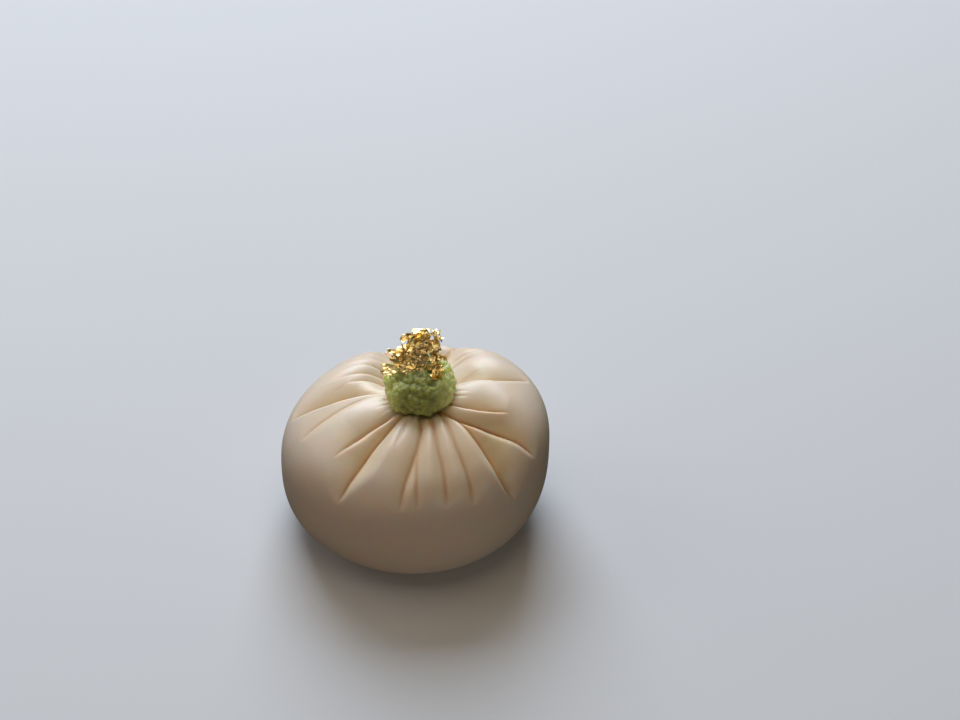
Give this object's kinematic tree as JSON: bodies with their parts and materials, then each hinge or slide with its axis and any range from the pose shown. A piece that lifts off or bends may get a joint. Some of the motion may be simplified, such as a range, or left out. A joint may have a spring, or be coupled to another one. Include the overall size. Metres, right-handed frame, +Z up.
{
  "type": "bean paste sweet",
  "caption": "Round bean paste sweet gathered into creases, with a green paste nub in its crown and a crumpled piece of gold leaf on top.",
  "frame": {"origin": "middle of the flat base, under the middle of the sweet's outline in plan", "axes": "+Z up through the crown, +X towards the higher side, which is on the right in the picture, and -Y towards the viewer of the picture"},
  "size_m": [0.048, 0.044, 0.0416],
  "materials": {
    "pale_paste": "satin",
    "green_paste": "matt, grainy",
    "gold_leaf": "bright, crumpled"
  },
  "bodies": {
    "root": {"paste_ball": "pale_paste", "green_nub": "green_paste", "gold_leaf": "gold_leaf"}
  },
  "joints": []
}
